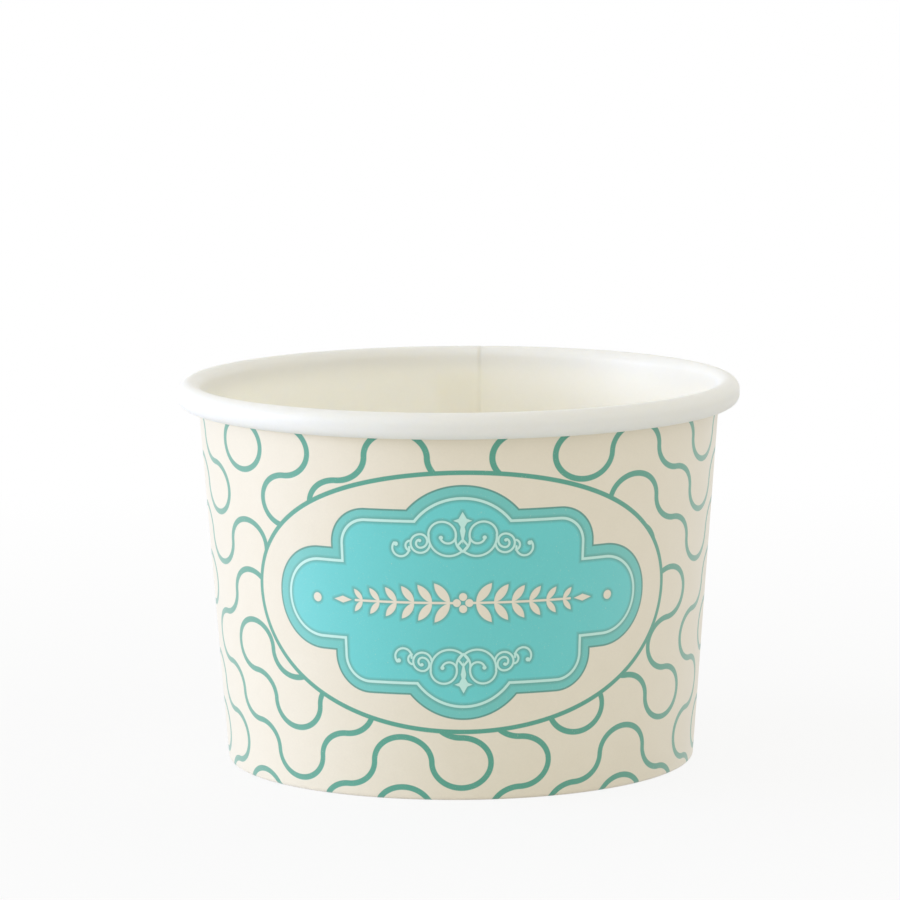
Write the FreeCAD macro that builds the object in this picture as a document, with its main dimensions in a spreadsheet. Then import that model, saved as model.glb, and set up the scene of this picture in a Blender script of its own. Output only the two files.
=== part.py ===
"""A single-wall paper dessert cup, in millimetres.

The cup is two sheets of coated board. The sidewall is a fan-shaped blank rolled into a cone: its two ends lap at
the back, its top edge is rolled outwards into the rim, and its foot is folded inwards into a hem. The bottom disc
has a skirt turned down all round, and the skirt stands in the pocket between the wall and the hem.

The frame: +Z is up along the cup's axis, the origin is on the table at the middle of the foot, the printed front
faces -Y and the lapped seam is at +Y.
"""

import FreeCAD
import Part
import math
import os
import Sketcher

SIZES = {
    "rim_diameter": 90.0,  # over the rolled rim
    "base_diameter": 75.0,  # over the foot, at the table
    "cup_height": 61.2,  # from the table to the top of the rim
    "board": 0.40,  # the sidewall's sheet
    "roll_width": 3.56,  # the rim's roll, from the mouth to its outer face
    "roll_height": 4.05,  # the rim's roll, from its top to its underside
    "curl_gap": 0.10,  # between the turns of the roll
    "curl_end": 65.0,  # where the sheet ends inside the roll, in degrees above the horizontal
    "hem_height": 5.9,  # from the table to the hem's free edge
    "hem_corner": 0.40,  # the rounding of the foot, outside
    "seal_film": 0.02,  # the coating that welds the skirt to the wall and to the hem
    "disc_board": 0.35,  # the bottom disc's sheet
    "disc_bend": 0.40,  # the inside of the bend between the disc and its skirt
    "hem_to_floor": 0.80,  # from the hem's free edge up to the disc
    "lap_width": 7.0,  # the double part of the side seam
    "lap_ramp": 2.4,  # where the outer sheet climbs over the inner one's edge
}

# The wall's outer face, as the sidewall's own sketch works it out: its radius at the table and its lean.
FOOT = "SidewallSection.Constraints.wall_foot / 1mm"
LEAN = "SidewallSection.Constraints.wall_lean"
WALL_ACROSS = f"board / cos( {LEAN} )"

POCKET = "disc_board + 2 * seal_film"
FOLD_LEVEL = "board + disc_board / 2 + seal_film"
FLOOR_LEVEL = "hem_height + hem_to_floor + disc_board"
LAP_FOOT = "hem_corner"
LAP_TOP = "cup_height - roll_height"
CLIMB_TOP = "cup_height - roll_height - board"

# How a sketch counts an element's ends and its centre, and its own axes and origin.
START, END, CENTRE = range(1, 4)
X_AXIS, Y_AXIS = range(-1, -3, -1)
ORIGIN_POINT = (X_AXIS, START)
DOWN = 1.5 * math.pi

doc = FreeCAD.newDocument("DessertCup")
sheet = doc.addObject("Spreadsheet::Sheet", "Dimensions")
for row, (alias, number) in enumerate(SIZES.items(), start=1):
    sheet.set(f"A{row}", alias)
    sheet.set(f"B{row}", str(number))
    sheet.setAlias(f"B{row}", alias)
doc.recompute()


def bound(formula):
    """A formula on the sheet's names, as an expression has to be written."""
    return " ".join(f"Dimensions.{word}" if word in SIZES else word for word in formula.split())


def value(formula):
    """What a formula comes to, in millimetres, or in radians for an angle."""
    found = sheet.evalExpression(bound(formula))
    if not isinstance(found, FreeCAD.Units.Quantity):
        return float(found)
    return math.radians(found.Value) if found.Unit == FreeCAD.Units.Angle else found.Value


def radius_at(level):
    """The formula of the wall's outer radius at a level."""
    return f"{FOOT} + ( {level} ) * tan( {LEAN} )"


def inner_radius_at(level):
    """The formula of the wall's inner radius at a level."""
    return f"{radius_at(level)} - {WALL_ACROSS}"


def spin(angle, radius):
    """The point at an angle and a radius about the origin."""
    return (radius * math.cos(angle), radius * math.sin(angle))


def moved(start, direction, distance):
    return (start[0] + direction[0] * distance, start[1] + direction[1] * distance)


class Outline:
    """A sketch drawn element by element, with its lines, arcs and sizes kept by name."""

    def __init__(self, body, name, role, level=None):
        self.sketch = body.newObject("Sketcher::SketchObject", name)
        plane = next(f for f in body.Origin.OriginFeatures if f.Role == role)
        self.sketch.AttachmentSupport = [(plane, "")]
        self.sketch.MapMode = "FlatFace"
        if level:
            self.sketch.setExpression("AttachmentOffset.Base.z", bound(level))
        self.ids = {}

    def line(self, name, start, end):
        ends = (FreeCAD.Vector(*start), FreeCAD.Vector(*end))
        self.ids[name] = self.sketch.addGeometry(Part.LineSegment(*ends))

    def arc(self, name, centre, radius, first, last):
        """An arc that runs anticlockwise from the angle first to the angle last, in radians."""
        circle = Part.Circle(FreeCAD.Vector(*centre), FreeCAD.Vector(0, 0, 1), radius)
        self.ids[name] = self.sketch.addGeometry(Part.ArcOfCircle(circle, first, last))

    def spot(self, name, at):
        """A point that helps to place or to read the outline and isn't part of it."""
        self.ids[name] = self.sketch.addGeometry(Part.Point(FreeCAD.Vector(*at)), True)

    def rule(self, kind, *where):
        """A constraint between named elements, such as rule("Parallel", "wall", "hem")."""
        found = [self.ids[w] if isinstance(w, str) else w for w in where]
        return self.sketch.addConstraint(Sketcher.Constraint(kind, *found))

    def smooth(self, *ends):
        """Two ends that meet and run on without a corner."""
        self.rule("Tangent", *ends)

    def join(self, *ends):
        self.rule("Coincident", *ends)

    def measure(self, name, formula, kind, *where):
        """A size of the outline, bound to a formula on the sheet."""
        number = self.rule(kind, *where, value(formula))
        self.sketch.renameConstraint(number, name)
        self.sketch.setExpression(f"Constraints.{name}", bound(formula))

    def read(self, name, drawn, kind, *where):
        """A size that the sketch works out, for the other sketches to use."""
        number = self.rule(kind, *where, drawn)
        self.sketch.setDriving(number, False)
        self.sketch.renameConstraint(number, name)

    def finished(self):
        doc.recompute()
        if self.sketch.DoF or self.sketch.ConflictingConstraints or self.sketch.RedundantConstraints:
            raise RuntimeError(f"sketch {self.sketch.Name} isn't constrained as it should be")
        return self.sketch


def wall_geometry():
    """The wall's lean, the way out square to it, its outer face's lowest point, and two centres that it touches.

    The outer face is the line that touches the foot's outer corner and the inside of the roll's top bend.
    """
    board = value("board")
    corner = value("hem_corner")
    top_bend = value("roll_width") / 2
    foot_corner = (value("base_diameter") / 2 - corner, corner)
    roll = (value("rim_diameter") / 2 - top_bend, value("cup_height") - top_bend)
    across = roll[0] - foot_corner[0]
    upwards = roll[1] - foot_corner[1]
    lean = math.atan2(across, upwards) - math.asin((top_bend - board + corner) / math.hypot(across, upwards))
    outwards = (math.cos(lean), -math.sin(lean))
    return lean, outwards, moved(foot_corner, outwards, corner), foot_corner, roll


def inside_wall(face, outwards, depth, level):
    """The point at a level that lies a depth inside the wall's outer face, measured square to it."""
    return (face[0] - (depth + outwards[1] * (level - face[1])) / outwards[0], level)


def draw_foot(out):
    """The hem, the foot and the fold that holds the skirt, drawn in place."""
    lean, outwards, face, foot_corner, _ = wall_geometry()
    board = value("board")
    corner = value("hem_corner")
    pocket = value(POCKET)
    level = value(FOLD_LEVEL)
    left, right = math.pi - lean, 2 * math.pi - lean
    fold = inside_wall(face, outwards, board + pocket / 2, level)
    inner_corner = inside_wall(face, outwards, 2 * board + pocket - corner, corner)
    hem_top = inside_wall(face, outwards, board + pocket, value("hem_height"))
    hem_end = moved(hem_top, outwards, -board)
    out.line("hem_inside", hem_end, moved(inner_corner, outwards, -corner))
    out.arc("inner_corner", inner_corner, corner, left, DOWN)
    out.line("foot", (inner_corner[0], 0), (foot_corner[0], 0))
    out.arc("outer_corner", foot_corner, corner, DOWN, right)
    out.arc("fold", fold, pocket / 2, left, right)
    out.line("hem_skirt_side", moved(fold, outwards, -pocket / 2), hem_top)
    out.line("hem_edge", hem_top, hem_end)


def draw_roll(out):
    """The rim's roll, drawn in place: the sheet goes over, down the rim's face, back to the wall and up inside."""
    lean, outwards, face, _, roll = wall_geometry()
    board = value("board")
    top_bend = value("roll_width") / 2
    rim_radius = value("rim_diameter") / 2
    underside = value("cup_height - roll_height")
    left = math.pi - lean
    room = outwards[0] * (rim_radius - face[0]) + outwards[1] * (underside - face[1]) - value("curl_gap")
    low_bend = room / (1 + outwards[0] - outwards[1])
    low = (rim_radius - low_bend, underside + low_bend)
    end_bend = top_bend - board - value("curl_gap")
    stop = value("curl_end * 1deg")
    for side, depth in (("outside", 0), ("inside", board)):
        out.arc(f"top_bend_{side}", roll, top_bend - depth, 0, left)
        out.line(f"rim_face_{side}", (rim_radius - depth, roll[1]), (rim_radius - depth, low[1]))
        out.arc(f"low_bend_{side}", low, low_bend - depth, left, 2 * math.pi)
        out.line(
            f"return_{side}",
            moved(low, outwards, depth - low_bend),
            moved(roll, outwards, depth - end_bend),
        )
        out.arc(f"end_bend_{side}", roll, end_bend - depth, stop, left)
    way = spin(stop, 1)
    out.line("curl_edge", moved(roll, way, end_bend), moved(roll, way, end_bend - board))
    out.spot("underside", (low[0], underside))


def draw_wall(out):
    """The wall's two faces, between the foot and the roll."""
    _, outwards, face, _, roll = wall_geometry()
    top_bend = value("roll_width") / 2
    fold = inside_wall(face, outwards, value("board") + value(POCKET) / 2, value(FOLD_LEVEL))
    out.line("wall_outside", face, moved(roll, outwards, value("board") - top_bend))
    out.line("wall_inside", moved(roll, outwards, -top_bend), moved(fold, outwards, value(POCKET) / 2))
    out.spot("foot_line", inside_wall(face, outwards, 0, 0))


def join_section(out):
    """How the section's elements meet, so that it stays one sheet of one thickness at any size."""
    out.smooth("hem_inside", END, "inner_corner", START)
    out.smooth("inner_corner", END, "foot", START)
    out.smooth("foot", END, "outer_corner", START)
    out.smooth("outer_corner", END, "wall_outside", START)
    out.smooth("wall_outside", END, "top_bend_inside", END)
    out.smooth("wall_inside", START, "top_bend_outside", END)
    out.smooth("wall_inside", END, "fold", END)
    out.smooth("fold", START, "hem_skirt_side", START)
    for side in ("outside", "inside"):
        out.smooth(f"top_bend_{side}", START, f"rim_face_{side}", START)
        out.smooth(f"rim_face_{side}", END, f"low_bend_{side}", END)
        out.smooth(f"low_bend_{side}", START, f"return_{side}", START)
        out.smooth(f"return_{side}", END, f"end_bend_{side}", END)
        out.rule("Vertical", f"rim_face_{side}")
        out.rule("Parallel", f"return_{side}", "wall_outside")
        out.join(f"end_bend_{side}", CENTRE, "top_bend_outside", CENTRE)
    for face in ("wall_inside", "hem_inside", "hem_skirt_side"):
        out.rule("Parallel", face, "wall_outside")
    out.join("hem_skirt_side", END, "hem_edge", START)
    out.join("hem_edge", END, "hem_inside", START)
    out.join("end_bend_outside", START, "curl_edge", START)
    out.join("end_bend_inside", START, "curl_edge", END)
    out.join("top_bend_inside", CENTRE, "top_bend_outside", CENTRE)
    out.join("low_bend_inside", CENTRE, "low_bend_outside", CENTRE)
    out.rule("Perpendicular", "hem_edge", "hem_inside")
    out.rule("Horizontal", "foot")
    out.rule("PointOnObject", "foot", START, X_AXIS)
    out.rule("PointOnObject", "top_bend_outside", CENTRE, "curl_edge")
    out.rule("PointOnObject", "underside", START, "low_bend_outside")
    out.rule("Vertical", "underside", START, "low_bend_outside", CENTRE)
    out.rule("PointOnObject", "foot_line", START, X_AXIS)
    out.rule("PointOnObject", "foot_line", START, "wall_outside")


def size_section(out):
    """The section's sizes, and the two that the other sketches read."""
    out.measure("inner_rounding", "hem_corner", "Radius", "inner_corner")
    out.measure("outer_rounding", "hem_corner", "Radius", "outer_corner")
    out.measure("wall_board", "board", "Distance", "wall_inside", START, "wall_outside")
    out.measure("hem_board", "board", "Distance", "hem_edge", END, "hem_skirt_side")
    out.measure("skirt_pocket", POCKET, "Distance", "hem_skirt_side", START, "wall_inside")
    out.measure("turn_gap", "curl_gap", "Distance", "return_outside", START, "wall_outside")
    out.measure("roll_bend", "roll_width / 2", "Radius", "top_bend_outside")
    out.measure("curl_stop", "curl_end * 1deg", "Angle", X_AXIS, START, "curl_edge", END)
    radii = {
        "foot_radius": ("base_diameter / 2 - hem_corner", "outer_corner", CENTRE),
        "rim_radius": ("rim_diameter / 2", "rim_face_outside", START),
    }
    for name, (formula, *place) in radii.items():
        out.measure(name, formula, "DistanceX", *ORIGIN_POINT, *place)
    levels = {
        "fold_level": (FOLD_LEVEL, "fold", CENTRE),
        "hem_level": ("hem_height", "hem_skirt_side", END),
        "roll_level": ("cup_height - roll_width / 2", "top_bend_outside", CENTRE),
        "underside_level": ("cup_height - roll_height", "underside", START),
    }
    for name, (formula, *place) in levels.items():
        out.measure(name, formula, "DistanceY", *ORIGIN_POINT, *place)
    lean, outwards, face, *_ = wall_geometry()
    foot_line = inside_wall(face, outwards, 0, 0)
    out.read("wall_foot", foot_line[0], "DistanceX", *ORIGIN_POINT, "foot_line", START)
    out.read("wall_lean", lean, "Angle", "wall_outside", START, Y_AXIS, START)


def sidewall_section(body):
    """The sheet's own section: hem, foot, wall and rolled rim in one closed outline."""
    out = Outline(body, "SidewallSection", "XZ_Plane")
    draw_foot(out)
    draw_wall(out)
    draw_roll(out)
    join_section(out)
    size_section(out)
    return out.finished()


def lap_profile(body, name, level):
    """The double part of the side seam at a level: the outer sheet, and its climb over the inner sheet's edge."""
    half = value("lap_width / 2")
    climb_end = value("lap_width / 2 + lap_ramp")
    face = value(radius_at(level))
    proud = face + value(WALL_ACROSS)
    buried = face - value("board / 2")
    cut_way, top_way, end_way = math.acos(-half / proud), math.acos(half / proud), math.acos(climb_end / face)
    out = Outline(body, name, "XY_Plane", level)
    out.arc("outer_sheet", (0, 0), proud, top_way, cut_way)
    out.arc("buried_side", (0, 0), buried, end_way, cut_way)
    out.line("cut_edge", spin(cut_way, proud), spin(cut_way, buried))
    out.line("climb", spin(top_way, proud), spin(end_way, face))
    out.line("climb_end", spin(end_way, face), spin(end_way, buried))
    out.join("outer_sheet", END, "cut_edge", START)
    out.join("cut_edge", END, "buried_side", END)
    out.join("outer_sheet", START, "climb", START)
    out.join("climb", END, "climb_end", START)
    out.join("climb_end", END, "buried_side", START)
    for arc in ("outer_sheet", "buried_side"):
        out.join(arc, CENTRE, *ORIGIN_POINT)
    for edge in ("cut_edge", "climb_end"):
        out.rule("PointOnObject", *ORIGIN_POINT, edge)
    out.measure("sheet_radius", f"{radius_at(level)} + {WALL_ACROSS}", "Radius", "outer_sheet")
    out.measure("buried_radius", f"{radius_at(level)} - board / 2", "Radius", "buried_side")
    out.measure("end_radius", radius_at(level), "Distance", *ORIGIN_POINT, "climb", END)
    out.measure("cut_place", "lap_width / 2", "DistanceX", "outer_sheet", END, *ORIGIN_POINT)
    out.measure("top_place", "lap_width / 2", "DistanceX", *ORIGIN_POINT, "outer_sheet", START)
    out.measure("end_place", "lap_width / 2 + lap_ramp", "DistanceX", *ORIGIN_POINT, "climb", END)
    return out.finished()


def climb_profile(body, name, level):
    """The hollow under the climbing sheet at a level, seen inside the cup as the inner sheet's cut edge."""
    half = value("lap_width / 2")
    climb_end = value("lap_width / 2 + lap_ramp")
    face = value(inner_radius_at(level))
    deep = value(radius_at(level))
    clear = face - value("board")
    edge_way, end_way = math.acos(half / deep), math.acos(climb_end / face)
    out = Outline(body, name, "XY_Plane", level)
    out.line("inner_edge", spin(edge_way, clear), spin(edge_way, deep))
    out.line("climb", spin(edge_way, deep), spin(end_way, face))
    out.line("climb_end", spin(end_way, face), spin(end_way, clear))
    out.line("clear_side", spin(end_way, clear), spin(edge_way, clear))
    out.join("inner_edge", END, "climb", START)
    out.join("climb", END, "climb_end", START)
    out.join("climb_end", END, "clear_side", START)
    out.join("clear_side", END, "inner_edge", START)
    for edge in ("inner_edge", "climb_end"):
        out.rule("PointOnObject", *ORIGIN_POINT, edge)
    clear_radius = f"{inner_radius_at(level)} - board"
    out.measure("deep_radius", radius_at(level), "Distance", *ORIGIN_POINT, "climb", START)
    out.measure("end_radius", inner_radius_at(level), "Distance", *ORIGIN_POINT, "climb", END)
    out.measure("near_clear", clear_radius, "Distance", *ORIGIN_POINT, "clear_side", END)
    out.measure("far_clear", clear_radius, "Distance", *ORIGIN_POINT, "clear_side", START)
    out.measure("edge_place", "lap_width / 2", "DistanceX", *ORIGIN_POINT, "climb", START)
    out.measure("end_place", "lap_width / 2 + lap_ramp", "DistanceX", *ORIGIN_POINT, "climb", END)
    return out.finished()


def disc_section(body):
    """The bottom disc's section: flat across the cup, bent down into a skirt that leans as the wall does."""
    lean, outwards, *_ = wall_geometry()
    disc_board = value("disc_board")
    bend = value("disc_bend")
    floor = value(FLOOR_LEVEL)
    skirt_radius = f"{inner_radius_at(FOLD_LEVEL)} - seal_film / cos( {LEAN} )"
    skirt_end = (value(skirt_radius), value(FOLD_LEVEL))
    bend_level = floor - bend - disc_board
    bend_depth = bend + disc_board
    centre = inside_wall(skirt_end, outwards, bend_depth, bend_level)
    out = Outline(body, "DiscSection", "XZ_Plane")
    out.line("top", (0, floor), (centre[0], floor))
    out.arc("bend_outside", centre, bend_depth, -lean, math.pi / 2)
    out.line("skirt_outside", moved(centre, outwards, bend_depth), skirt_end)
    out.line("skirt_edge", skirt_end, moved(skirt_end, outwards, -disc_board))
    out.line("skirt_inside", moved(skirt_end, outwards, -disc_board), moved(centre, outwards, bend))
    out.arc("bend_inside", centre, bend, -lean, math.pi / 2)
    out.line("underside", (centre[0], floor - disc_board), (0, floor - disc_board))
    out.line("middle", (0, floor - disc_board), (0, floor))
    out.smooth("top", END, "bend_outside", END)
    out.smooth("bend_outside", START, "skirt_outside", START)
    out.smooth("skirt_inside", END, "bend_inside", START)
    out.smooth("bend_inside", END, "underside", START)
    out.join("skirt_outside", END, "skirt_edge", START)
    out.join("skirt_edge", END, "skirt_inside", START)
    out.join("underside", END, "middle", START)
    out.join("middle", END, "top", START)
    out.join("bend_inside", CENTRE, "bend_outside", CENTRE)
    out.rule("Horizontal", "top")
    out.rule("Horizontal", "underside")
    out.rule("Vertical", "middle")
    out.rule("PointOnObject", "middle", START, Y_AXIS)
    out.rule("Parallel", "skirt_inside", "skirt_outside")
    out.rule("Perpendicular", "skirt_edge", "skirt_outside")
    out.measure("floor_level", FLOOR_LEVEL, "DistanceY", *ORIGIN_POINT, "top", START)
    out.measure("inner_bend", "disc_bend", "Radius", "bend_inside")
    out.measure("outer_bend", "disc_bend + disc_board", "Radius", "bend_outside")
    out.measure("skirt_level", FOLD_LEVEL, "DistanceY", *ORIGIN_POINT, "skirt_outside", END)
    out.measure("skirt_radius", skirt_radius, "DistanceX", *ORIGIN_POINT, "skirt_outside", END)
    out.measure("skirt_lean", LEAN, "Angle", "skirt_outside", END, Y_AXIS, START)
    return out.finished()


def revolve(body, name, sketch):
    feature = body.newObject("PartDesign::Revolution", name)
    feature.Profile = sketch
    feature.ReferenceAxis = (sketch, ["V_Axis"])
    feature.Angle = 360
    doc.recompute()


def loft(body, name, kind, foot, top):
    """A straight loft between two level sketches, added to the body or cut from it."""
    feature = body.newObject(f"PartDesign::{kind}Loft", name)
    feature.Profile = foot
    feature.Sections = [top]
    feature.Ruled = True
    doc.recompute()


def changed_volume(body, before, grows):
    """The body's volume, after a feature that has to have changed it the right way."""
    after = body.Shape.Volume
    if (after > before) != grows:
        raise RuntimeError(f"{body.Tip.Name} changed nothing")
    return after


def build_sidewall():
    body = doc.addObject("PartDesign::Body", "Sidewall")
    body.Label = "sidewall"
    revolve(body, "Wrap", sidewall_section(body))
    volume = body.Shape.Volume
    foot = lap_profile(body, "LapFoot", LAP_FOOT)
    loft(body, "Lap", "Additive", foot, lap_profile(body, "LapTop", LAP_TOP))
    volume = changed_volume(body, volume, grows=True)
    foot = climb_profile(body, "ClimbFoot", FLOOR_LEVEL)
    loft(body, "InnerEdge", "Subtractive", foot, climb_profile(body, "ClimbTop", CLIMB_TOP))
    changed_volume(body, volume, grows=False)
    return body


def build_disc():
    body = doc.addObject("PartDesign::Body", "BottomDisc")
    body.Label = "bottom_disc"
    revolve(body, "Disc", disc_section(body))
    return body


def export(bodies):
    """Writes each sub-part that is whole, after the document as a whole is found sound."""
    for item in doc.Objects:
        if "Invalid" in item.State or "Error" in item.State:
            raise RuntimeError(f"{item.Name} failed: {item.State}")
    os.makedirs("parts", exist_ok=True)
    for body in bodies:
        shape = body.Shape
        if shape.isNull() or not shape.isValid() or len(shape.Solids) != 1:
            raise RuntimeError(f"{body.Label} isn't one sound solid")
        shape.exportStep(f"parts/{body.Label}.step")
        print(f"{body.Label}: {shape.Volume:.1f} cubic mm")


export([build_sidewall(), build_disc()])
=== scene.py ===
"""A printed paper dessert cup: its rolled and hemmed sidewall, its bottom disc, and the light on them."""

import bmesh
import bpy
import math
from mathutils import Matrix, Vector


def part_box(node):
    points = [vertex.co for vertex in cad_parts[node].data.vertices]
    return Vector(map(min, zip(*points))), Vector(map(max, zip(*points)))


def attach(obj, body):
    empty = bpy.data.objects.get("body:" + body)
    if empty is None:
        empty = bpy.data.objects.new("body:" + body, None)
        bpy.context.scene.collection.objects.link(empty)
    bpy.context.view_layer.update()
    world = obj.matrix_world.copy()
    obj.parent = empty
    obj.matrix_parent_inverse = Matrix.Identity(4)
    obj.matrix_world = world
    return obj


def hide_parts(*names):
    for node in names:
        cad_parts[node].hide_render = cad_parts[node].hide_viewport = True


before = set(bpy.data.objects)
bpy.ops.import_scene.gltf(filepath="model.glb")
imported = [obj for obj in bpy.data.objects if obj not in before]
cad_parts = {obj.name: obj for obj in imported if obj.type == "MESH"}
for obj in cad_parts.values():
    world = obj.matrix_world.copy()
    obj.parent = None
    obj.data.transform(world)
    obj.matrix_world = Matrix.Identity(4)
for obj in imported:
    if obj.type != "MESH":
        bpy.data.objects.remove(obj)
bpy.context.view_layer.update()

MM = 0.001

# The cup's sizes, in millimetres: those of the solids that the two sheets stand for.
WALL_LOW, WALL_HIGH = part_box("sidewall")
RIM_RADIUS = (WALL_HIGH[0] - WALL_LOW[0]) / 2 / MM
CUP_HEIGHT = WALL_HIGH[2] / MM
BASE_RADIUS = 37.5
BOARD = 0.40
ROLL_WIDTH = 3.56
ROLL_HEIGHT = 4.05
CURL_GAP = 0.10
CURL_END = math.radians(65)
HEM_HEIGHT = 5.9
HEM_CORNER = 0.40
SEAL_FILM = 0.02
DISC_BOARD = 0.35
DISC_BEND = 0.40
HEM_TO_FLOOR = 0.80
LAP_WIDTH = 7.0
LAP_RAMP = 2.4

# The wall's outer face touches the foot's corner and the inside of the roll's top bend.
TOP_BEND = ROLL_WIDTH / 2
POCKET = DISC_BOARD + 2 * SEAL_FILM
FOLD_LEVEL = BOARD + POCKET / 2
FLOOR_LEVEL = HEM_HEIGHT + HEM_TO_FLOOR + DISC_BOARD
UNDERSIDE = CUP_HEIGHT - ROLL_HEIGHT
ROLL = Vector((RIM_RADIUS - TOP_BEND, CUP_HEIGHT - TOP_BEND))
FOOT_CORNER = Vector((BASE_RADIUS - HEM_CORNER, HEM_CORNER))
LEAN = (math.atan2(*(ROLL - FOOT_CORNER))
        - math.asin((TOP_BEND - BOARD + HEM_CORNER) / (ROLL - FOOT_CORNER).length))
OUTWARDS = Vector((math.cos(LEAN), -math.sin(LEAN)))
FACE = FOOT_CORNER + OUTWARDS * HEM_CORNER

# The steps round the cup: the seam's climb, its double part and its two cut edges, then the rest.
PRINT_RADIUS = FACE.x + (UNDERSIDE / 2 - FACE.y) * math.tan(LEAN)
HALF_LAP = LAP_WIDTH / 2 / PRINT_RADIUS
RAMP = LAP_RAMP / PRINT_RADIUS
CUT = math.radians(0.03)
REST_STEPS = 240
REST_ANGLE = 2 * math.pi - RAMP - 2 * HALF_LAP - CUT
SWEEP = ((RAMP, 8), (CUT, 1), (2 * HALF_LAP - CUT, 12), (CUT, 1), (REST_ANGLE, REST_STEPS))

# What pressing and rolling leave in the board, in millimetres.
GROOVE = 0.04  # the depth of the inner sheet's cut edge inside the cup, once the seam is pressed
ROLL_GROOVE = 0.06  # the same on the rolled rim
KNURL = 0.07  # the depth of the ribs pressed round the hem's inner face
KNURL_LOW = 1.0  # where the ribs start above the table
KNURL_HIGH = HEM_HEIGHT - 0.4  # where they stop
KNURL_FADE = 0.8  # how far they take to reach their depth
DISH = 0.30  # how far the middle of the bottom disc sags
WAVER = 0.05  # how far the wall strays from a true cone
WAVER_LEVELS = (8, 28)  # where it starts to stray above the table, and where it may stray that far
WAVER_TWIST = 19  # how far up the wall its swing takes to turn by one radian
WAVER_PHASE = 0.7
LAP_TOP = UNDERSIDE - 0.2  # where the outer sheet lies flush again under the roll
LAP_FADES = (0.9, 0.7)  # how far it takes to stand proud above the fold, and to sink below the roll
GROOVE_CHANGE = 2.0  # how far up the roll the depth in the cup takes to become the roll's
SHARP_EDGE = math.radians(40)  # an edge whose faces turn further than this isn't smoothed

# The print, in millimetres round the cup from the middle of its front and up from the table.
TILES_ROUND = 26
TILE_WIDTH = 2 * math.pi * PRINT_RADIUS / TILES_ROUND
TILE_HEIGHT = 8.0
TILE_FOOT = -2.0
WAVE_LINE = 0.92
FIRST_TILE = 6
TILE_RULE = (53, 173, 39, 84, 90, 169)  # the numbers of a sum over a tile's column and row
TILE_REMAINDERS = 188  # a tile is turned where the sum leaves less than half of this
# The tiles in front that the rule for the others would turn wrongly, by column and row.
TURNED_BACK = ((11, 6), (12, 6), (14, 6), (8, 5), (7, 3), (8, 2), (13, 1), (16, 1), (8, 0), (16, 0))
PANEL_CENTRE = (0.4, 31.35)
RING = (35.65, 20.4)  # half its width and half its height
RING_LINE = 0.72
SIDE_LOBES = (31.04, 8.17, 8.1)  # half the pill's width, half its height, and its corner's radius
SHOULDERS = (20.75, 14.6, 5.8)  # the same of the box
TOP_LOBE = (7.37, 11.13)  # how far its centre is from the panel's, and its radius
PINSTRIPE = 0.43
PINSTRIPE_INSET = 2.1  # how far inside the panel's outline its middle runs
SHOULDER_INSET = 1.85  # and how far at the box
BORDER_LINE = 0.28  # how wide the dark border is inside the panel's outline
DOT = (23.67, 0.72)  # how far out it is, and its radius
SOFT_EDGE = 0.10  # how far ink fades at its edge
PAINTED_SHADE_REACH = 0.55  # how far the panel's ink is darkened round its ornaments by painted shade, as if the print stood raised
PAINTED_SHADE_DEPTH = 0.75  # and how far that painted shade goes towards the border line's colour there
SCROLL_LINE = 0.34
LEAF_START = 2.0
LEAF_PITCH = 2.75
LEAF_PAIRS = 6
LEAF_SHRINK = 0.085  # how much smaller each pair is than the one before, against the first
LEAF_LENGTH = 3.9
LEAF_WIDTH = 1.4
LEAF_TILT = math.radians(52)

# Each colour of the board and of the ink, and what it varies to; the border line's teal also serves for
# painted shade.
CREAM = ("#F2E9D4", "#EDE3CC")
TEAL = ("#56D4D2", "#51CFCD")
BAND_TEAL = ("#60CAC2", "#5BC4BC")
# the dark border line's printed teal, also used for the painted shade round the panel's ornaments
BORDER_AND_SHADE_TEAL = ("#399384", "#358C7E")
DEEP_TEAL = ("#2E9E84", "#2A987E")
PALE_TEAL = ("#C8F6EB", "#C1F0E4")
WHITE = ("#FEFAF0", "#FBF7EC")
RAW = ("#E6DED0", "#DACFBD")

# The grain of the board, as noise: how many to the metre, in how many layers, and how rough.
PRINTED_FIBRES = (2600, 5, 0.7)
PRINTED_CLOUDS = (170, 3, 0.6)
COATED_FIBRES = (2200, 5, 0.7)
COATED_CLOUDS = (140, 3, 0.6)
BARE_FIBRES = (3600, 5, 0.75)
PINHOLES = (5200, 2, 0.5)
PINHOLE_LEVEL = 0.66  # the noise above which the ink has a pinhole
PINHOLE_EDGE = 9  # how sharply it ends
PINHOLE_SHARE = 0.35  # how much of the board shows through one
PRINTED_GRAIN = ("#A8A8A8", "#FFFFFF")  # the shades that the fibres lay over the printed side
PRINTED_GRAIN_SHARE = 0.13  # and how strongly
COATED_GRAIN = ("#B4B4B4", "#FFFFFF")  # the same on the white side
COATED_GRAIN_SHARE = 0.06
GRAIN_HEIGHT = 0.8  # the fibres' height against the clouds', and how deep the ink is pressed in
PRINTED_RELIEF = 0.03  # the clouds' height on the printed side, in millimetres
COATED_RELIEF = 0.026  # the same on the white side
BARE_RELIEF = 0.03  # the fibres' height on bare board

# How each side of the board takes the light. A roughness comes with what the fibres add to it.
PRINTED_ROUGHNESS = (0.40, 0.18)
INK_SMOOTHING = 0.07  # how much smoother ink leaves the printed side
COATED_ROUGHNESS = (0.37, 0.18)
BARE_ROUGHNESS = (0.72, 0.20)
PRINTED_GLOSS = {"coat": 0.7, "coat_roughness": 0.40, "sheen": 0.4}
COATED_GLOSS = {"coat": 0.20, "coat_roughness": 0.35}
SHEEN_ROUGHNESS = 0.7
BOARD_GLOW = 0.8  # how much of the light that meets the white side spreads inside the board
GLOW_REACH = 1.5 * BOARD * MM  # how far it spreads
GLOW_COLOURS = (1.0, 0.94, 0.82)  # and how far each colour of it does, against red

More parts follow.
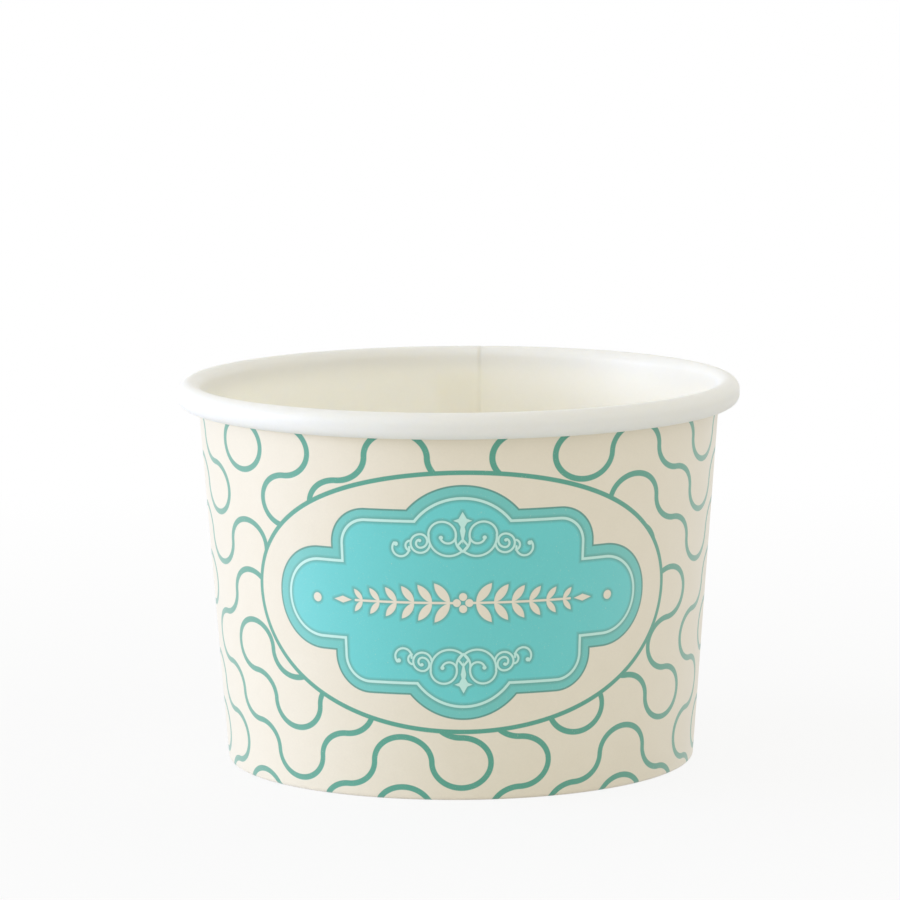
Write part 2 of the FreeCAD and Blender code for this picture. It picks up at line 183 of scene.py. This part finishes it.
# The table, the lamp and the camera, in metres and watts, with the camera's own sizes in millimetres.
TABLE_SIZE = 6.0
TABLE_GREY = 0.80
TABLE_ROUGHNESS = 0.9
TABLE_WHITE = 0.85  # the share of plain white in the table close to the cup; the rest takes the shadow
SHADOW_REACH = (0.07, 0.30)  # from where to where the shadow fades out
WORLD_TINT = (1.01, 0.99, 0.94, 1.0)
WORLD_LEVEL = 0.955  # at the height of the eye
WORLD_FALL = 0.18  # and how much dimmer it is overhead
LIT_POINT = Vector((0, 0, 0.03))
LAMP_PLACE = Vector((-1.45, -0.10, 0.27))
LAMP_SIZE = (1.0, 0.48)
LAMP_POWER = 9.5
LAMP_TINT = (0.85, 0.95, 1.27)
VIEW_HEIGHT = math.radians(7.965)
VIEW_ROLL = math.radians(-0.377)
VIEW_DISTANCE = 0.80904
VIEW_TARGET = Vector((-0.001454, 0, 0.049492))
SENSOR = 36.0
LENS = 5037.3 / 900 * SENSOR  # in millimetres too; 5037.3 is in pixels of a picture 900 wide


def in_wall(depth, level):
    """The point of the section at a level that lies a depth inside the wall's outer face."""
    return Vector((FACE.x - (depth + OUTWARDS.y * (level - FACE.y)) / OUTWARDS.x, level))


def depth_in_wall(point):
    """How far a point of the cup lies inside the wall's outer face."""
    return -OUTWARDS.dot(Vector((point.xy.length, point.z)) / MM - FACE)


def even_rise(x):
    """Nought below 0, one above 1, and smooth between."""
    x = min(max(x, 0), 1)
    return x * x * (3 - 2 * x)


def around(point):
    """The angle round the cup from the middle of the printed front, positive towards +X."""
    return math.atan2(point.x, -point.y)


def past_seam(point):
    """The angle round the cup from the middle of the seam, positive the way the outer sheet runs."""
    return math.atan2(-point.x, point.y)


class Section:
    """A line drawn from a first point in the plane of X and Z, in millimetres, in straight runs and bends."""

    def __init__(self, start):
        self.mesh = bmesh.new()
        self.tip = self.mesh.verts.new((start.x * MM, 0, start.y * MM))

    def run(self, end, steps=1):
        first, last = self.tip.co.copy(), Vector((end.x * MM, 0, end.y * MM))
        for step in range(1, steps + 1):
            self.tip = bmesh.ops.extrude_vert_indiv(self.mesh, verts=[self.tip])["verts"][0]
            self.tip.co = first.lerp(last, step / steps)

    def bend(self, centre, angle, steps):
        """Turns about a centre, anticlockwise for a positive angle as the front of the cup shows it."""
        made = bmesh.ops.spin(self.mesh, geom=[self.tip], cent=(centre.x * MM, 0, centre.y * MM),
                              axis=(0, -1, 0), angle=angle, steps=steps)
        self.tip = made["geom_last"][0]

    def sweep(self, start, stations):
        """Turns the line once round the cup's axis, from an angle past the seam, and closes the shell."""
        mesh = self.mesh
        bmesh.ops.rotate(mesh, verts=mesh.verts, matrix=Matrix.Rotation(start + math.pi / 2, 3, "Z"))
        last = mesh.verts[:] + mesh.edges[:]
        for angle, steps in stations:
            made = bmesh.ops.spin(mesh, geom=last, axis=(0, 0, 1), angle=angle, steps=steps)
            last = made["geom_last"]
        bmesh.ops.remove_doubles(mesh, verts=mesh.verts, dist=0.001 * MM)
        return mesh


def thicken(mesh, thickness, shows_first):
    """Thickens a sheet to board, behind the side it is drawn for, and returns that side's points."""
    bmesh.ops.recalc_face_normals(mesh, faces=mesh.faces)
    if not shows_first(mesh.faces):
        bmesh.ops.reverse_faces(mesh, faces=mesh.faces)
    first_side = set(mesh.verts)
    bmesh.ops.solidify(mesh, geom=mesh.faces[:], thickness=thickness * MM)
    return first_side


def finished(mesh, name, slot, node, *materials):
    """A mesh made a piece of the cup, smooth but for its cut edges, in a node's place."""
    for face in mesh.faces:
        face.smooth = True
    for edge in mesh.edges:
        edge.smooth = edge.calc_face_angle(0) < SHARP_EDGE
    data = bpy.data.meshes.new(name)
    mesh.to_mesh(data)
    mesh.free()
    for material in materials:
        data.materials.append(material)
    piece = bpy.data.objects.new(name, data)
    bpy.context.scene.collection.objects.link(piece)
    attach(piece, "root")
    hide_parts(node)
    return piece


def sidewall_section():
    """The sidewall's sheet: down inside the hem, round the fold, up the wall, and round in the rim's roll."""
    fold = in_wall(BOARD + POCKET / 2, FOLD_LEVEL)
    room = OUTWARDS.dot(Vector((RIM_RADIUS, UNDERSIDE)) - FACE) - CURL_GAP
    low_bend = room / (1 + OUTWARDS.x - OUTWARDS.y)
    low = Vector((RIM_RADIUS - low_bend, UNDERSIDE + low_bend))
    end_bend = TOP_BEND - BOARD - CURL_GAP
    section = Section(in_wall(BOARD + POCKET, HEM_HEIGHT))
    section.run(fold - OUTWARDS * POCKET / 2, steps=6)
    section.bend(fold, math.pi, steps=8)
    for level, rows in ((1.0, 2), (2.0, 3), (FLOOR_LEVEL, 3), (UNDERSIDE - 1, 20), (UNDERSIDE, 4)):
        section.run(in_wall(BOARD, level), rows)
    section.run(ROLL - OUTWARDS * TOP_BEND, steps=2)
    section.bend(ROLL, LEAN - math.pi, steps=18)
    section.run(Vector((RIM_RADIUS, low.y)))
    section.bend(low, -math.pi - LEAN, steps=16)
    section.run(ROLL - OUTWARDS * end_bend)
    section.bend(ROLL, CURL_END + LEAN - math.pi, steps=8)
    return section


def climb(angle):
    """How far the outer sheet has climbed over the inner one's edge, at an angle past the seam."""
    return even_rise((angle + HALF_LAP + RAMP) / RAMP)


def outer_lift(point):
    """How far the outer side stands proud at the lap, or is pressed in by the hem's ribs, in millimetres."""
    angle, level, depth = past_seam(point), point.z / MM, depth_in_wall(point)
    if depth > BOARD + POCKET and level < HEM_HEIGHT + BOARD:
        station = round((angle % (2 * math.pi) - HALF_LAP - CUT) / (REST_ANGLE / REST_STEPS))
        ends = even_rise((level - KNURL_LOW) / KNURL_FADE) * even_rise((KNURL_HIGH - level) / KNURL_FADE)
        return -KNURL * ends * (station % 2)
    if depth > BOARD / 2 or not 0 < level < UNDERSIDE or angle > HALF_LAP + CUT / 2:
        return 0
    low_fade, high_fade = LAP_FADES
    ends = even_rise((level - FOLD_LEVEL) / low_fade) * even_rise((LAP_TOP - level) / high_fade)
    return BOARD * climb(angle) * ends


def inner_lift(point):
    """How far the inner side drops at the inner sheet's cut edge, in the cup and on the rim."""
    angle, level, depth = past_seam(point), point.z / MM, depth_in_wall(point)
    if angle > CUT / 2 - HALF_LAP:
        return 0
    at_roll = even_rise((level - UNDERSIDE) / GROOVE_CHANGE)
    if depth > BOARD / 2:
        in_cup = even_rise(level - FLOOR_LEVEL + 1)
        return -climb(angle) * in_cup * (GROOVE + (ROLL_GROOVE - GROOVE) * at_roll)
    from_roll = Vector((point.xy.length, point.z)) / MM - ROLL
    outermost = from_roll.length > TOP_BEND - BOARD / 2 and (from_roll.y > BOARD or depth < -BOARD)
    return -climb(angle) * ROLL_GROOVE * even_rise(level - UNDERSIDE) * outermost


def strayed(point):
    """How far the wall and the rim stray inwards from true, as rolled board does, in millimetres."""
    turn, level = around(point), point.z / MM
    start, full = WAVER_LEVELS
    swing = math.sin(2 * turn + WAVER_PHASE) * math.cos(level / WAVER_TWIST + turn)
    return WAVER * (1 + swing) / 2 * even_rise((level - start) / (full - start))


def lay_print(mesh):
    """Maps the sheet as it lay flat: metres round from the front's middle, and metres up from the table."""
    layer = mesh.loops.layers.uv.new("print")
    for face in mesh.faces:
        centre = face.calc_center_median()
        angle = past_seam(centre)
        hemmed = depth_in_wall(centre) > BOARD + POCKET / 2 and centre.z < HEM_HEIGHT * 1.1 * MM
        for loop in face.loops:
            turn = around(loop.vert.co)
            if abs(angle) < 1 and (angle < HALF_LAP + CUT / 2) != (turn > 0):
                turn += 2 * math.pi if turn < 0 else -2 * math.pi
            level = loop.vert.co.z
            loop[layer].uv = (turn * PRINT_RADIUS * MM, -level if hemmed else level)


def build_sidewall(printed, white, raw):
    mesh = sidewall_section().sweep(-HALF_LAP - RAMP, SWEEP)

    def faces_the_axis(faces):
        middle = min(faces, key=lambda face: abs(face.calc_center_median().z - CUP_HEIGHT / 2 * MM))
        return middle.normal.xy.dot(middle.calc_center_median().xy) < 0

    first_side = thicken(mesh, BOARD, faces_the_axis)
    mesh.normal_update()
    for vert in mesh.verts:
        lift = inner_lift if vert in first_side else outer_lift
        out = Vector((vert.co.x, vert.co.y, 0)).normalized()
        vert.co += (vert.normal * lift(vert.co) - out * strayed(vert.co)) * MM
    for face in mesh.faces:
        on_first = sum(vert in first_side for vert in face.verts)
        angle = past_seam(face.calc_center_median())
        cut_at = -HALF_LAP if on_first else HALF_LAP
        if 0 < on_first < len(face.verts) or cut_at < angle < cut_at + CUT:
            face.material_index = 1 if on_first else 2
        else:
            face.material_index = 1 if on_first else 0
    lay_print(mesh)
    return finished(mesh, "sidewall_board", "printed_board", "sidewall", printed, white, raw)


def build_bottom_disc(white, raw):
    centre = in_wall(BOARD + SEAL_FILM + DISC_BEND + DISC_BOARD, FLOOR_LEVEL - DISC_BEND - DISC_BOARD)
    section = Section(Vector((0, FLOOR_LEVEL)))
    section.run(Vector((centre.x, FLOOR_LEVEL)), steps=16)
    section.bend(centre, -math.pi / 2 - LEAN, steps=8)
    section.run(in_wall(BOARD + SEAL_FILM, FOLD_LEVEL), steps=4)
    mesh = section.sweep(0, ((2 * math.pi, REST_STEPS),))

    def faces_up(faces):
        return max(faces, key=lambda face: face.normal.z ** 2).normal.z > 0

    top_side = thicken(mesh, DISC_BOARD, faces_up)
    for vert in mesh.verts:
        vert.co.z -= DISH * MM * (1 - even_rise(vert.co.xy.length / MM / centre.x))
    for face in mesh.faces:
        face.material_index = 0 if all(vert in top_side for vert in face.verts) else 1
    return finished(mesh, "bottom_disc_board", "plain_board", "bottom_disc", white, raw)


def colour(code):
    """A colour of the light, from the six digits that a paint shop uses."""
    light = []
    for digit in (1, 3, 5):
        part = int(code[digit:digit + 2], 16) / 255
        light.append(part / 12.92 if part <= 0.04045 else ((part + 0.055) / 1.055) ** 2.4)
    return (*light, 1)


class Wire:
    """What a socket of a material carries. Sums and products of wires become nodes."""

    def __init__(self, material, socket):
        self.material = material
        self.socket = socket

    def math(self, operation, *others, clamp=False):
        settings = {"operation": operation, "use_clamp": clamp}
        return self.material.add("ShaderNodeMath", settings, self, *others)

    def __add__(self, other):
        return self.math("ADD", other)

    def __sub__(self, other):
        return self.math("SUBTRACT", other)

    def __rsub__(self, other):
        return (self * -1).math("ADD", other)

    def __mul__(self, other):
        return self.math("MULTIPLY", other)

    def __truediv__(self, other):
        return self.math("DIVIDE", other)

    def __abs__(self):
        return self.math("ABSOLUTE")

    __radd__ = __add__
    __rmul__ = __mul__


class Brush:
    """The nodes of a material or of the studio's air, and the one way to add to them."""

    def __init__(self, tree):
        self.tree = tree

    def add(self, kind, settings, *inputs, out=0, **named):
        """A node, first set up, then fed values or wires in its sockets' order or by their names."""
        node = self.tree.nodes.new(kind)
        for setting, value in settings.items():
            setattr(node, setting, value)
        by_name = {key.replace("_", " "): value for key, value in named.items()}
        for key, value in (*enumerate(inputs), *by_name.items()):
            if isinstance(value, Wire):
                self.tree.links.new(value.socket, node.inputs[key])
            elif value is not None:
                node.inputs[key].default_value = value
        return Wire(self, node.outputs[out])

    def white_rays(self):
        """One for the rays that see plain white, from the camera, gloss or glass, and nought for the rest."""
        outputs = self.add("ShaderNodeLightPath", {}).socket.node.outputs
        rays = [Wire(self, outputs[f"Is {kind} Ray"]) for kind in ("Camera", "Glossy", "Transmission")]
        return rays[0].math("MAXIMUM", rays[1]).math("MAXIMUM", rays[2])


class Finish(Brush):
    """A material under the brush: its shader, and the nodes that feed it."""

    def __init__(self, name, roughness=0.5, coat=0.0, coat_roughness=0.3, sheen=0.0):
        self.made = bpy.data.materials.new(name)
        self.made.use_nodes = True
        super().__init__(self.made.node_tree)
        self.shader = self.tree.nodes["Principled BSDF"]
        self.shader.inputs["Roughness"].default_value = roughness
        self.shader.inputs["Coat Weight"].default_value = coat
        self.shader.inputs["Coat Roughness"].default_value = coat_roughness
        self.shader.inputs["Sheen Weight"].default_value = sheen
        self.shader.inputs["Sheen Roughness"].default_value = SHEEN_ROUGHNESS

    def feed(self, name, wire):
        self.tree.links.new(wire.socket, self.shader.inputs[name])

    def place(self):
        return self.add("ShaderNodeTexCoord", {}, out=3)

    def noise(self, per_metre, layers, rough):
        place = self.place()
        sockets = {"Vector": place, "Scale": per_metre, "Detail": layers, "Roughness": rough}
        return self.add("ShaderNodeTexNoise", {}, **sockets)

    def mix(self, factor, first, second, blend="MIX"):
        """Two colours mixed, each given as a code or as a wire."""
        settings = {"data_type": "RGBA", "blend_type": blend}
        ends = (colour(end) if isinstance(end, str) else end for end in (first, second))
        node_inputs = (factor, None, None, None, None, None, *ends)
        return self.add("ShaderNodeMix", settings, *node_inputs, out=2)

    def bump(self, height, depth):
        self.feed("Normal", self.add("ShaderNodeBump", {}, Height=height, Distance=depth * MM, Strength=1.0))


def length(x, y):
    """How long a line is that goes this far across and this far up."""
    return (x * x + y * y).math("SQRT")


def inked(distance, half_width=0.0):
    """One where ink lies, within a half width of a line or inside an outline, and nought elsewhere."""
    return ((half_width - distance) / SOFT_EDGE + 0.5).math("ADD", 0, clamp=True)


def nearer(first, *others):
    """The least of some distances."""
    for other in others:
        first = first.math("MINIMUM", other)
    return first


def wave_lines(x, z):
    """How far a point is from the winding lines: quarter ellipses in tiles, turned by a number rule."""
    column, row = x / TILE_WIDTH + TILES_ROUND / 2, (z - TILE_FOOT) / TILE_HEIGHT
    level = row.math("FLOOR")
    tile = (column.math("FLOOR") - FIRST_TILE).math("FLOORED_MODULO", TILES_ROUND / 2) + FIRST_TILE
    a, b, c, d, e, f = TILE_RULE
    rule = (tile * a + level * b + c) * tile + (level * d + e) * level + f
    turned = rule.math("FLOORED_MODULO", TILE_REMAINDERS).math("LESS_THAN", TILE_REMAINDERS / 2)
    for its_tile, its_level in TURNED_BACK:
        here = tile.math("COMPARE", its_tile, 0.5) * level.math("COMPARE", its_level, 0.5)
        turned = abs(turned - here)
    left = abs(column.math("FRACT") + turned - 1)
    down = 1 - row.math("FRACT")
    far_corner = (left + down).math("GREATER_THAN", 1)
    left, down = abs(far_corner - left), abs(far_corner - down)
    reach = length(left, down)
    return abs(reach - 0.5) * reach / length(left / TILE_WIDTH, down / TILE_HEIGHT)


def rounded_box(x, z, half_width, half_height, corner):
    """How far a point is outside a box with round corners, from its distances to the two middle lines."""
    over_x, over_z = x - (half_width - corner), z - (half_height - corner)
    outside = length(over_x.math("MAXIMUM", 0), over_z.math("MAXIMUM", 0))
    inside = over_x.math("MAXIMUM", over_z).math("MINIMUM", 0)
    return outside + inside - corner


def panel_forms(x, z):
    """How far a point is outside the panel's wide pill, the box across it, and the lobes above and below."""
    lobe_centre, lobe_radius = TOP_LOBE
    lobe = length(x, z - lobe_centre) - lobe_radius
    return rounded_box(x, z, *SIDE_LOBES), rounded_box(x, z, *SHOULDERS), lobe


def ring_line(x, z):
    """How far a point is outside the oval ring's line."""
    wide, high = RING
    inside = (x * x) / wide ** 2 + (z * z) / high ** 2 - 1
    return inside / length(x * 2 / wide ** 2, z * 2 / high ** 2)


def arc(x, z, centre, radius, start, end):
    """How far a point is from an arc that runs anticlockwise between two angles in degrees."""
    half = math.radians(end - start) / 2
    middle = math.radians(start + end) / 2
    x, z = x - centre[0], z - centre[1]
    ahead = x * math.cos(middle) + z * math.sin(middle)
    aside = abs(z * math.cos(middle) - x * math.sin(middle))
    past_end = (aside * math.cos(half)).math("GREATER_THAN", ahead * math.sin(half))
    from_end = length(ahead - radius * math.cos(half), aside - radius * math.sin(half))
    on_arc = abs(length(ahead, aside) - radius)
    return on_arc + past_end * (from_end - on_arc)


def dot(x, z, centre, radius):
    """How far a point is outside a dot."""
    return length(x - centre[0], z - centre[1]) - radius


def pointed(x, z, centre, half_width, half_height):
    """How far a point is outside a lozenge, near enough for a small ornament."""
    across, along = abs(x - centre[0]), abs(z - centre[1])
    slant = across / half_width + along / half_height - 1
    from_side = slant * (half_width * half_height / math.hypot(half_width, half_height))
    return from_side.math("MAXIMUM", across - half_width).math("MAXIMUM", along - half_height)


def scroll_ornament(x, z):
    """A finial between two scrolls, each with a curl and a hook beyond it, at the panel's top and bottom."""
    lines = nearer(
        arc(x, z, (3.09, 10.69), 2.06, 0, 182),
        arc(x, z, (2.12, 10.38), 3.00, 230, 366),
        arc(x, z, (2.22, 10.55), 1.19, 178, 342),
        arc(x, z, (-1.10, 9.95), 2.18, -88, 12),
        arc(x, z, (6.40, 9.32), 1.46, -172, 90),
        arc(x, z, (6.40, 9.72), 1.06, 90, 270),
        arc(x, z, (6.40, 9.30), 0.64, -90, 70),
        arc(x, z, (9.40, 8.55), 1.30, 172, 400),
        arc(x, z, (7.85, 8.95), 0.80, -75, 75),
    )
    spots = nearer(
        dot(x, z, (3.28, 10.25), 0.32),
        dot(x, z, (6.48, 9.78), 0.26),
        dot(x, z, (10.15, 9.20), 0.34),
        pointed(x, z, (0, 12.85), 0.80, 1.45),
        pointed(x, z, (0, 12.90), 1.42, 0.55),
        pointed(x, z, (0, 11.30), 0.42, 2.10),
    )
    eye = abs(pointed(x, z, (0, 9.00), 0.78, 0.95))
    return nearer(nearer(lines, eye) - SCROLL_LINE / 2, spots)


def leaf_band(x, z):
    """A band of paired leaves on a stem, either side of a flower, across the middle of the panel."""
    along = x - LEAF_START
    pair = (along / LEAF_PITCH).math("FLOOR").math("MAXIMUM", 0).math("MINIMUM", LEAF_PAIRS - 1)
    grown = 1 - pair * LEAF_SHRINK
    base_x, base_z = (along - pair * LEAF_PITCH) / grown, z / grown
    ahead = base_x * math.cos(LEAF_TILT) + base_z * math.sin(LEAF_TILT) - LEAF_LENGTH / 2
    aside = abs(base_z * math.cos(LEAF_TILT) - base_x * math.sin(LEAF_TILT))
    bulge = (LEAF_LENGTH ** 2 - LEAF_WIDTH ** 2) / (4 * LEAF_WIDTH)
    leaf = length(ahead, aside + bulge) - (bulge + LEAF_WIDTH / 2)
    stem_end = LEAF_START + LEAF_PAIRS * LEAF_PITCH
    stem = rounded_box(abs(x - stem_end / 2), z, stem_end / 2 - 1.4, 0.18, 0.17)
    tip = pointed(x, z, (stem_end + 0.6, 0), 1.5, 0.55)
    petals = nearer(length(x - 0.95, z) - 0.62, length(x, z - 0.95) - 0.62)
    return nearer(leaf * grown, stem, tip, petals)


def printed_finish():
    """Cream cup board with tones of blue-green ink on it, under a thin gloss."""
    finish = Finish("printed_board", **PRINTED_GLOSS)
    sheet = finish.add("ShaderNodeSeparateXYZ", {}, finish.add("ShaderNodeUVMap", {"uv_map": "print"}))
    x, z = sheet * (1 / MM), Wire(finish, sheet.socket.node.outputs[1]) * (1 / MM)
    centre_x, centre_z = PANEL_CENTRE
    left, up = abs(x - centre_x), abs(z - centre_z)
    ring = ring_line(left, up)
    pill, shoulders, lobe = panel_forms(left, up)
    panel = nearer(pill, shoulders, lobe)
    stripe_form = nearer(pill, lobe, shoulders - PINSTRIPE_INSET + SHOULDER_INSET)
    stripe = abs(stripe_form + PINSTRIPE_INSET) - PINSTRIPE / 2
    scrolls = scroll_ornament(left, up)
    spot_x, spot_radius = DOT
    leaves = nearer(leaf_band(left, up), dot(left, up, (spot_x, 0), spot_radius))
    waves = inked(wave_lines(x, z), WAVE_LINE / 2) * inked(0 - ring)
    lines = waves.math("MAXIMUM", inked(abs(ring), RING_LINE / 2))
    ornament = nearer(stripe, scrolls, leaves)
    # painted shade: the ink darkens round the ornaments as if raised print shaded it
    painted_emboss_shade = 1 - (ornament / PAINTED_SHADE_REACH).math("ADD", 0, clamp=True)

    fibres = finish.noise(*PRINTED_FIBRES)
    clouds = finish.noise(*PRINTED_CLOUDS)
    pinholes = ((finish.noise(*PINHOLES) - PINHOLE_LEVEL) * PINHOLE_EDGE).math("ADD", 0, clamp=True)
    board = finish.mix(clouds, *CREAM)
    outer = inked(0 - panel - PINSTRIPE_INSET)
    ink = finish.mix(outer, finish.mix(clouds, *TEAL), finish.mix(clouds, *BAND_TEAL))
    # the printed dark border inside the panel's outline, and the painted shade round the ornaments
    edges = (painted_emboss_shade * PAINTED_SHADE_DEPTH).math("MAXIMUM", inked(abs(panel), BORDER_LINE))
    ink = finish.mix(edges, ink, finish.mix(clouds, *BORDER_AND_SHADE_TEAL))
    ink = finish.mix(inked(nearer(stripe, scrolls)), ink, finish.mix(clouds, *PALE_TEAL))
    ink = finish.mix(inked(leaves), ink, board)
    shade = finish.mix(inked(panel), finish.mix(lines, board, finish.mix(clouds, *DEEP_TEAL)), ink)
    ink_film = lines.math("MAXIMUM", inked(panel) * (1 - inked(ornament)))
    shade = finish.mix(ink_film * pinholes * PINHOLE_SHARE, shade, board)
    grain = finish.mix(fibres, *PRINTED_GRAIN)
    finish.feed("Base Color", finish.mix(PRINTED_GRAIN_SHARE, shade, grain, "MULTIPLY"))
    smooth, added = PRINTED_ROUGHNESS
    finish.feed("Roughness", fibres * added + smooth - ink_film * INK_SMOOTHING)
    finish.bump((fibres - ink_film) * GRAIN_HEIGHT + clouds, PRINTED_RELIEF)
    return finish.made


def coated_finish():
    """The white side of the board, under the clear film that keeps the food off it."""
    finish = Finish("coated_board", **COATED_GLOSS)
    finish.shader.inputs["Subsurface Weight"].default_value = BOARD_GLOW
    finish.shader.inputs["Subsurface Radius"].default_value = GLOW_COLOURS
    finish.shader.inputs["Subsurface Scale"].default_value = GLOW_REACH
    fibres = finish.noise(*COATED_FIBRES)
    clouds = finish.noise(*COATED_CLOUDS)
    grain = finish.mix(fibres, *COATED_GRAIN)
    finish.feed("Base Color", finish.mix(COATED_GRAIN_SHARE, finish.mix(clouds, *WHITE), grain, "MULTIPLY"))
    smooth, added = COATED_ROUGHNESS
    finish.feed("Roughness", fibres * added + smooth)
    finish.bump(fibres * GRAIN_HEIGHT + clouds, COATED_RELIEF)
    return finish.made


def raw_finish():
    """Bare board, at the sheets' cut edges and under the bottom disc."""
    finish = Finish("bare_board")
    fibres = finish.noise(*BARE_FIBRES)
    finish.feed("Base Color", finish.mix(fibres, *RAW))
    smooth, added = BARE_ROUGHNESS
    finish.feed("Roughness", fibres * added + smooth)
    finish.bump(fibres, BARE_RELIEF)
    return finish.made


def build_stage():
    """A plain white table that runs out of sight, and takes the cup's shadow close to it."""
    mesh = bmesh.new()
    bmesh.ops.create_grid(mesh, x_segments=1, y_segments=1, size=TABLE_SIZE)
    data = bpy.data.meshes.new("table")
    mesh.to_mesh(data)
    mesh.free()
    table = bpy.data.objects.new("table", data)
    bpy.context.scene.collection.objects.link(table)
    finish = Finish("table_white", roughness=TABLE_ROUGHNESS)
    finish.shader.inputs["Base Color"].default_value = (TABLE_GREY, TABLE_GREY, TABLE_GREY, 1)
    near, far = SHADOW_REACH
    out = finish.add("ShaderNodeVectorMath", {"operation": "LENGTH"}, finish.place(), out=1)
    away = ((out - near) / (far - near)).math("ADD", 0, clamp=True)
    share = finish.white_rays() * (TABLE_WHITE + away * (1 - TABLE_WHITE))
    white = finish.add("ShaderNodeEmission", {}, (1, 1, 1, 1), 1.0)
    both = finish.add("ShaderNodeMixShader", {}, share, Wire(finish, finish.shader.outputs[0]), white)
    finish.tree.links.new(both.socket, finish.tree.nodes["Material Output"].inputs["Surface"])
    data.materials.append(finish.made)


def build_light():
    """Even, slightly warm light from all round, and one large soft lamp low on the left."""
    world = bpy.data.worlds.new("studio")
    world.use_nodes = True
    bpy.context.scene.world = world
    air = Brush(world.node_tree)
    seen = air.white_rays()
    direction = air.add("ShaderNodeSeparateXYZ", {}, air.add("ShaderNodeTexCoord", {}))
    overhead = Wire(air, direction.socket.node.outputs[2]).math("MAXIMUM", 0)
    glow = air.add("ShaderNodeBackground", {}, WORLD_TINT, WORLD_LEVEL - overhead * WORLD_FALL)
    white = air.add("ShaderNodeBackground", {}, (1, 1, 1, 1), 1.0)
    both = air.add("ShaderNodeMixShader", {}, seen, glow, white)
    air.tree.links.new(both.socket, air.tree.nodes["World Output"].inputs["Surface"])
    light = bpy.data.lights.new("left_lamp", "AREA")
    light.shape = "ELLIPSE"
    light.size, light.size_y = LAMP_SIZE
    light.energy = LAMP_POWER
    light.color = LAMP_TINT
    lamp = bpy.data.objects.new("left_lamp", light)
    lamp.location = LAMP_PLACE
    lamp.rotation_euler = (LIT_POINT - LAMP_PLACE).to_track_quat("-Z", "Y").to_euler()
    bpy.context.scene.collection.objects.link(lamp)


def build_camera():
    """Where the photograph was taken from: just above the rim, with the frame turned a little."""
    data = bpy.data.cameras.new("camera")
    data.lens = LENS
    data.sensor_width = SENSOR
    view = Vector((0, math.cos(VIEW_HEIGHT), -math.sin(VIEW_HEIGHT)))
    right = Vector((1, 0, 0))
    up = right.cross(view)
    right, up = (right * math.cos(VIEW_ROLL) + up * math.sin(VIEW_ROLL),
                 up * math.cos(VIEW_ROLL) - right * math.sin(VIEW_ROLL))
    camera = bpy.data.objects.new("camera", data)
    camera.matrix_world = Matrix.Translation(VIEW_TARGET - view * VIEW_DISTANCE) @ Matrix(
        (right, up, -view)).transposed().to_4x4()
    bpy.context.scene.collection.objects.link(camera)
    bpy.context.scene.camera = camera


printed, white, raw = printed_finish(), coated_finish(), raw_finish()
build_sidewall(printed, white, raw)
build_bottom_disc(white, raw)
build_stage()
build_light()
build_camera()
bpy.context.scene.view_settings.view_transform = "Standard"
